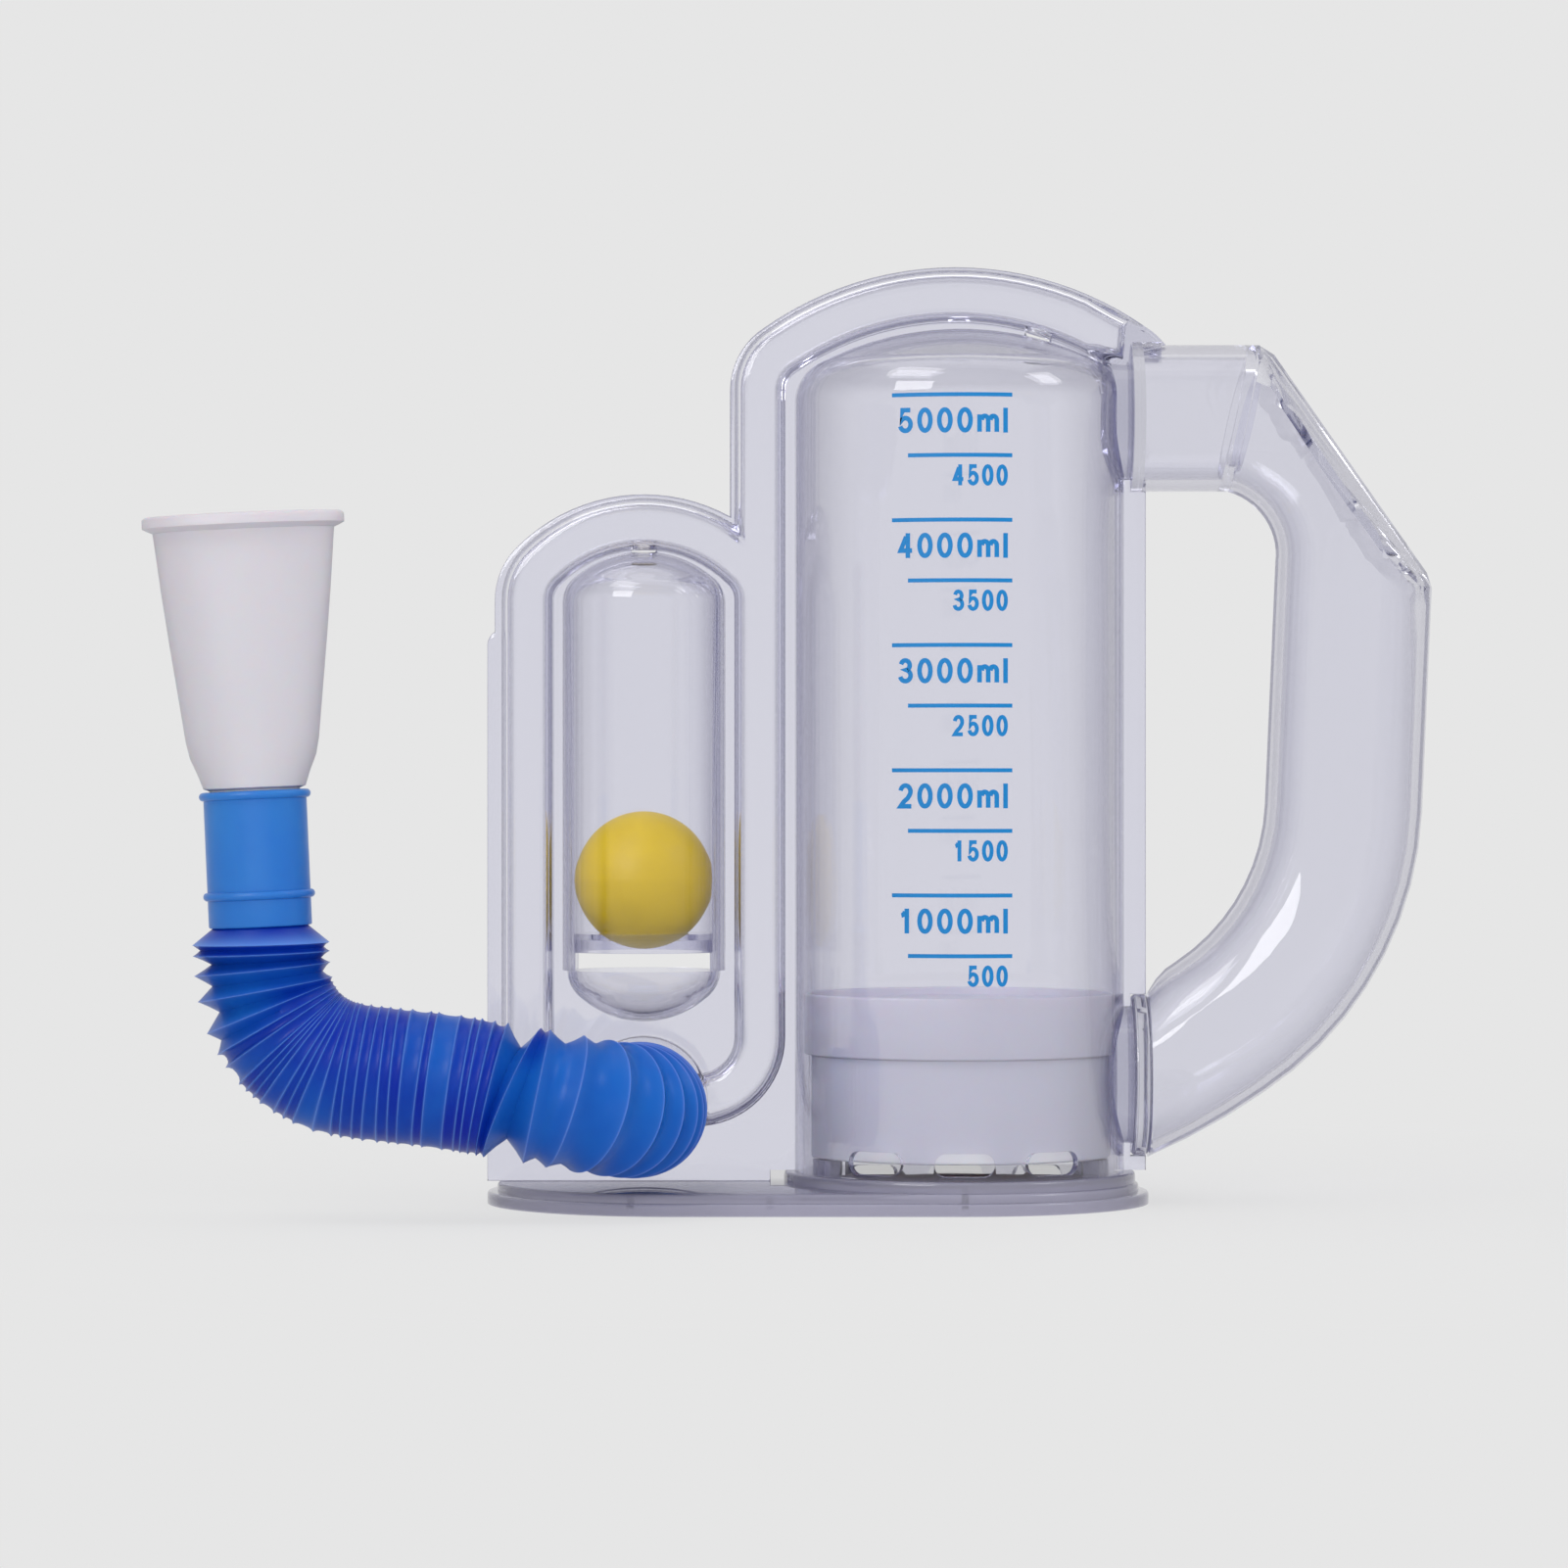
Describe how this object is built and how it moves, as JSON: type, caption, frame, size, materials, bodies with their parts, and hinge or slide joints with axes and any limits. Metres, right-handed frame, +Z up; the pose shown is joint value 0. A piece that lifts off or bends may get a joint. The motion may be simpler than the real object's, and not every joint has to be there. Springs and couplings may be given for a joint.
{
  "type": "breathing trainer",
  "caption": "Volumetric incentive spirometer: clear measuring chamber with a sliding piston, ball flow tube, hollow grip, base, corrugated hose and mouthpiece",
  "frame": {"origin": "on the table under the chamber's axis, the middle of the width over housing and grip, without the hose and mouthpiece", "axes": "+X towards the grip, +Y away from the reader of the scale, +Z up"},
  "size_m": [0.3214, 0.1293, 0.2384],
  "materials": {
    "clear_plastic": "clear polystyrene, moulded smooth",
    "piston_plastic": "milky polyethylene, smooth",
    "ball_plastic": "yellow plastic, satin",
    "scale_ink": "screen-printed blue ink",
    "hose_plastic": "deep blue polyethylene, corrugated",
    "cuff_plastic": "light blue vinyl, smooth",
    "mouthpiece_plastic": "milky polypropylene, satin"
  },
  "bodies": {
    "housing": {"front_shell": "clear_plastic", "rear_shell": "clear_plastic", "base_tray": "clear_plastic", "ball_seat": "clear_plastic", "scale_lines": "scale_ink", "hose_port": "clear_plastic", "port_cuff": "cuff_plastic", "hose": "hose_plastic", "mouth_cuff": "cuff_plastic", "upper_stub": "clear_plastic", "lower_collar": "clear_plastic", "handle_front": "clear_plastic", "handle_rear": "clear_plastic"},
    "piston": {"piston": "piston_plastic"},
    "ball": {"flow_ball": "ball_plastic"},
    "mouthpiece": {"mouthpiece": "mouthpiece_plastic"}
  },
  "joints": [
    {"name": "piston_lift", "type": "slide", "parent": "housing", "child": "piston", "axis": [0, 0, 1], "range_m": [0, 0.15]},
    {"name": "ball_lift", "type": "slide", "parent": "housing", "child": "ball", "axis": [0, 0, 1], "range_m": [0, 0.062]},
    {"name": "mouthpiece_pull", "type": "slide", "parent": "housing", "child": "mouthpiece", "axis": [-0.0436, 0, 0.999], "range_m": [0, 0.03]}
  ]
}
